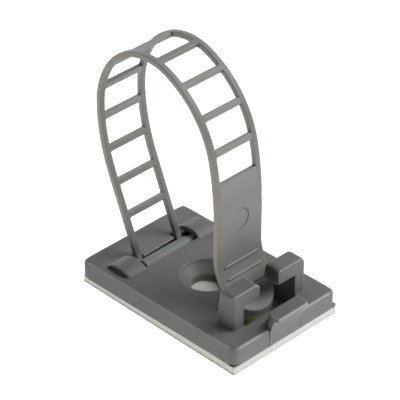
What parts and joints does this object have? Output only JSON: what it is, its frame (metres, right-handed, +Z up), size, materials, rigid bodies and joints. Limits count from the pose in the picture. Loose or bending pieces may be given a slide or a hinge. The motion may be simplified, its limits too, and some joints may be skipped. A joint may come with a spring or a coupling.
{
  "type": "adjustable cable clip",
  "caption": "Adhesive-backed cable clip: a ladder strap hinged at one end of a rectangular base loops over a cable bundle and its tongue tucks under two facing hooks beside a latch tab.",
  "frame": {"origin": "centre of the plate outline, on the underside of the release liner", "axes": "+X from the hinge end to the lock end, +Y across the strap, +Z up out of the plate"},
  "size_m": [0.0434, 0.026, 0.0482],
  "materials": {
    "base_plastic": "moulded grey polyamide with a fine satin skin",
    "strap_plastic": "lighter grey flexible polyamide, satin",
    "foam": "off-white closed-cell foam tape",
    "liner": "thin pale release film"
  },
  "bodies": {
    "base": {"base": "base_plastic", "foam_pad": "foam", "release_liner": "liner"},
    "strap": {"strap": "strap_plastic"}
  },
  "joints": [
    {"name": "strap_hinge", "type": "hinge", "parent": "base", "child": "strap", "pos_m": [-0.01085, 0, 0.00387], "axis": [0, -1, 0], "range_deg": [-4, 3]}
  ]
}
